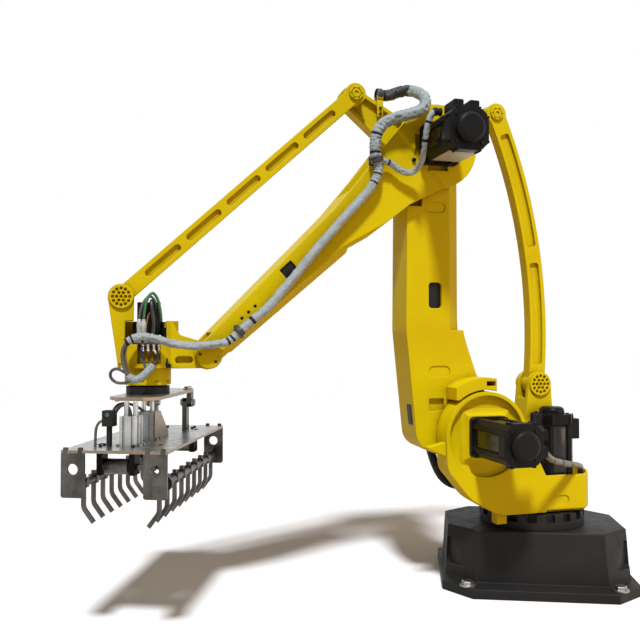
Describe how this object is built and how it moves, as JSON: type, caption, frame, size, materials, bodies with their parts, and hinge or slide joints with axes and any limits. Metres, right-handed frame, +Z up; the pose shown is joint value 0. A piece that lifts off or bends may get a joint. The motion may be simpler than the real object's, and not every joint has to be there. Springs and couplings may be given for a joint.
{
  "type": "palletizing robot with bag gripper",
  "caption": "Floor-mounted palletizing robot: slewing base, two long arms with level-keeping links, vertical wrist spindle and a tined claw gripper for filled bags.",
  "frame": {"origin": "on the underside of the base at floor level, under the slewing axis", "axes": "+X forward along the arm, +Y to the left of the arm, +Z up"},
  "size_m": [1.9396, 0.7527, 1.7023],
  "materials": {
    "yellow_paint": "glossy enamel over castings",
    "dark_paint": "satin dark grey",
    "motor_black": "satin black",
    "stainless_plate": "brushed, laser-cut edges",
    "hose_sleeve": "grey protective sleeve, creased",
    "black_plastic": "moulded, satin",
    "bare_aluminium": "extruded, clear anodised"
  },
  "bodies": {
    "base": {"base_casting": "dark_paint", "slew_ring": "dark_paint"},
    "turntable": {"turntable_casting": "yellow_paint", "shoulder_motor": "motor_black", "slew_motor": "motor_black", "link_tower": "yellow_paint", "tower_cap": "yellow_paint", "tub_conduit": "black_plastic", "motor_cable": "hose_sleeve"},
    "lower_arm": {"lower_arm_casting": "yellow_paint"},
    "rear_link": {"rear_link": "yellow_paint"},
    "elbow_link": {"elbow_link": "yellow_paint", "hose_bracket": "stainless_plate", "elbow_hose": "hose_sleeve"},
    "upper_arm": {"upper_arm_casting": "yellow_paint", "elbow_motor": "motor_black", "motor_lead": "hose_sleeve", "hose_tie": "stainless_plate", "arm_hose": "hose_sleeve", "tip_clamp": "stainless_plate"},
    "upper_link": {"upper_link": "yellow_paint"},
    "wrist": {"wrist_casting": "yellow_paint", "wrist_cap": "yellow_paint", "wrist_motor": "motor_black", "wrist_hose": "hose_sleeve", "air_fittings": "stainless_plate"},
    "gripper": {"tool_flange": "dark_paint", "adapter_plate": "stainless_plate", "frame_plate": "stainless_plate", "near_post": "bare_aluminium", "middle_post": "bare_aluminium", "post_gusset": "stainless_plate", "air_valve": "black_plastic", "left_strap": "stainless_plate", "right_strap": "stainless_plate", "near_left_leg": "stainless_plate", "near_right_leg": "stainless_plate", "far_left_leg": "stainless_plate", "far_right_leg": "stainless_plate", "left_cylinder": "motor_black", "right_cylinder": "motor_black"},
    "left_claw": {"left_claw": "stainless_plate"},
    "right_claw": {"right_claw": "stainless_plate"},
    "left_rod": {"left_rod": "stainless_plate"},
    "right_rod": {"right_rod": "stainless_plate"}
  },
  "joints": [
    {"name": "slew", "type": "hinge", "parent": "base", "child": "turntable", "pos_m": [0, 0, 0.25], "axis": [0, 0, 1], "range_deg": [-180, 180]},
    {"name": "shoulder", "type": "hinge", "parent": "turntable", "child": "lower_arm", "pos_m": [0.248, 0, 0.514], "axis": [0, 1, 0], "range_deg": [-18, 38], "deforming": ["tub_conduit"]},
    {"name": "rear_link_foot", "type": "hinge", "parent": "turntable", "child": "rear_link", "pos_m": [-0.024, 0, 0.674], "axis": [0, 1, 0], "range_deg": [-18, 38]},
    {"name": "elbow_level", "type": "hinge", "parent": "lower_arm", "child": "elbow_link", "pos_m": [0.39974, 0, 1.47206], "axis": [0, 1, 0], "range_deg": [-38, 18]},
    {"name": "elbow", "type": "hinge", "parent": "elbow_link", "child": "upper_arm", "pos_m": [0.39974, 0, 1.47206], "axis": [0, -1, 0], "range_deg": [-8, 45], "deforming": ["elbow_hose"]},
    {"name": "upper_link_head", "type": "hinge", "parent": "elbow_link", "child": "upper_link", "pos_m": [0.65874, 0, 1.65206], "axis": [0, -1, 0], "range_deg": [-8, 45]},
    {"name": "wrist_level", "type": "hinge", "parent": "upper_arm", "child": "wrist", "pos_m": [1.15324, 0, 0.7816], "axis": [0, -1, 0], "range_deg": [-45, 8], "deforming": ["wrist_hose"]},
    {"name": "tool_turn", "type": "hinge", "parent": "wrist", "child": "gripper", "pos_m": [1.32924, 0, 0.6666], "axis": [0, 0, 1], "range_deg": [-180, 180]},
    {"name": "left_claw_swing", "type": "hinge", "parent": "gripper", "child": "left_claw", "pos_m": [1.42287, -0.04322, 0.4316], "axis": [0.3746, 0.9272, 0], "range_deg": [0, 70]},
    {"name": "right_claw_swing", "type": "hinge", "parent": "gripper", "child": "right_claw", "pos_m": [1.20961, 0.04294, 0.4316], "axis": [-0.3746, -0.9272, 0], "range_deg": [0, 70]},
    {"name": "left_rod_slide", "type": "slide", "parent": "gripper", "child": "left_rod", "axis": [0.9272, -0.3746, 0], "range_m": [0, 0.064]},
    {"name": "right_rod_slide", "type": "slide", "parent": "gripper", "child": "right_rod", "axis": [-0.9272, 0.3746, 0], "range_m": [0, 0.064]}
  ],
  "couplings": [
    {"joint": "rear_link_foot", "follows": "shoulder", "ratio": 1},
    {"joint": "elbow_level", "follows": "shoulder", "ratio": -1},
    {"joint": "upper_link_head", "follows": "elbow", "ratio": 1},
    {"joint": "wrist_level", "follows": "elbow", "ratio": -1},
    {"joint": "right_claw_swing", "follows": "left_claw_swing", "ratio": 1},
    {"joint": "left_rod_slide", "follows": "left_claw_swing", "m_per_rad": 0.051581},
    {"joint": "right_rod_slide", "follows": "left_claw_swing", "m_per_rad": 0.051581}
  ]
}
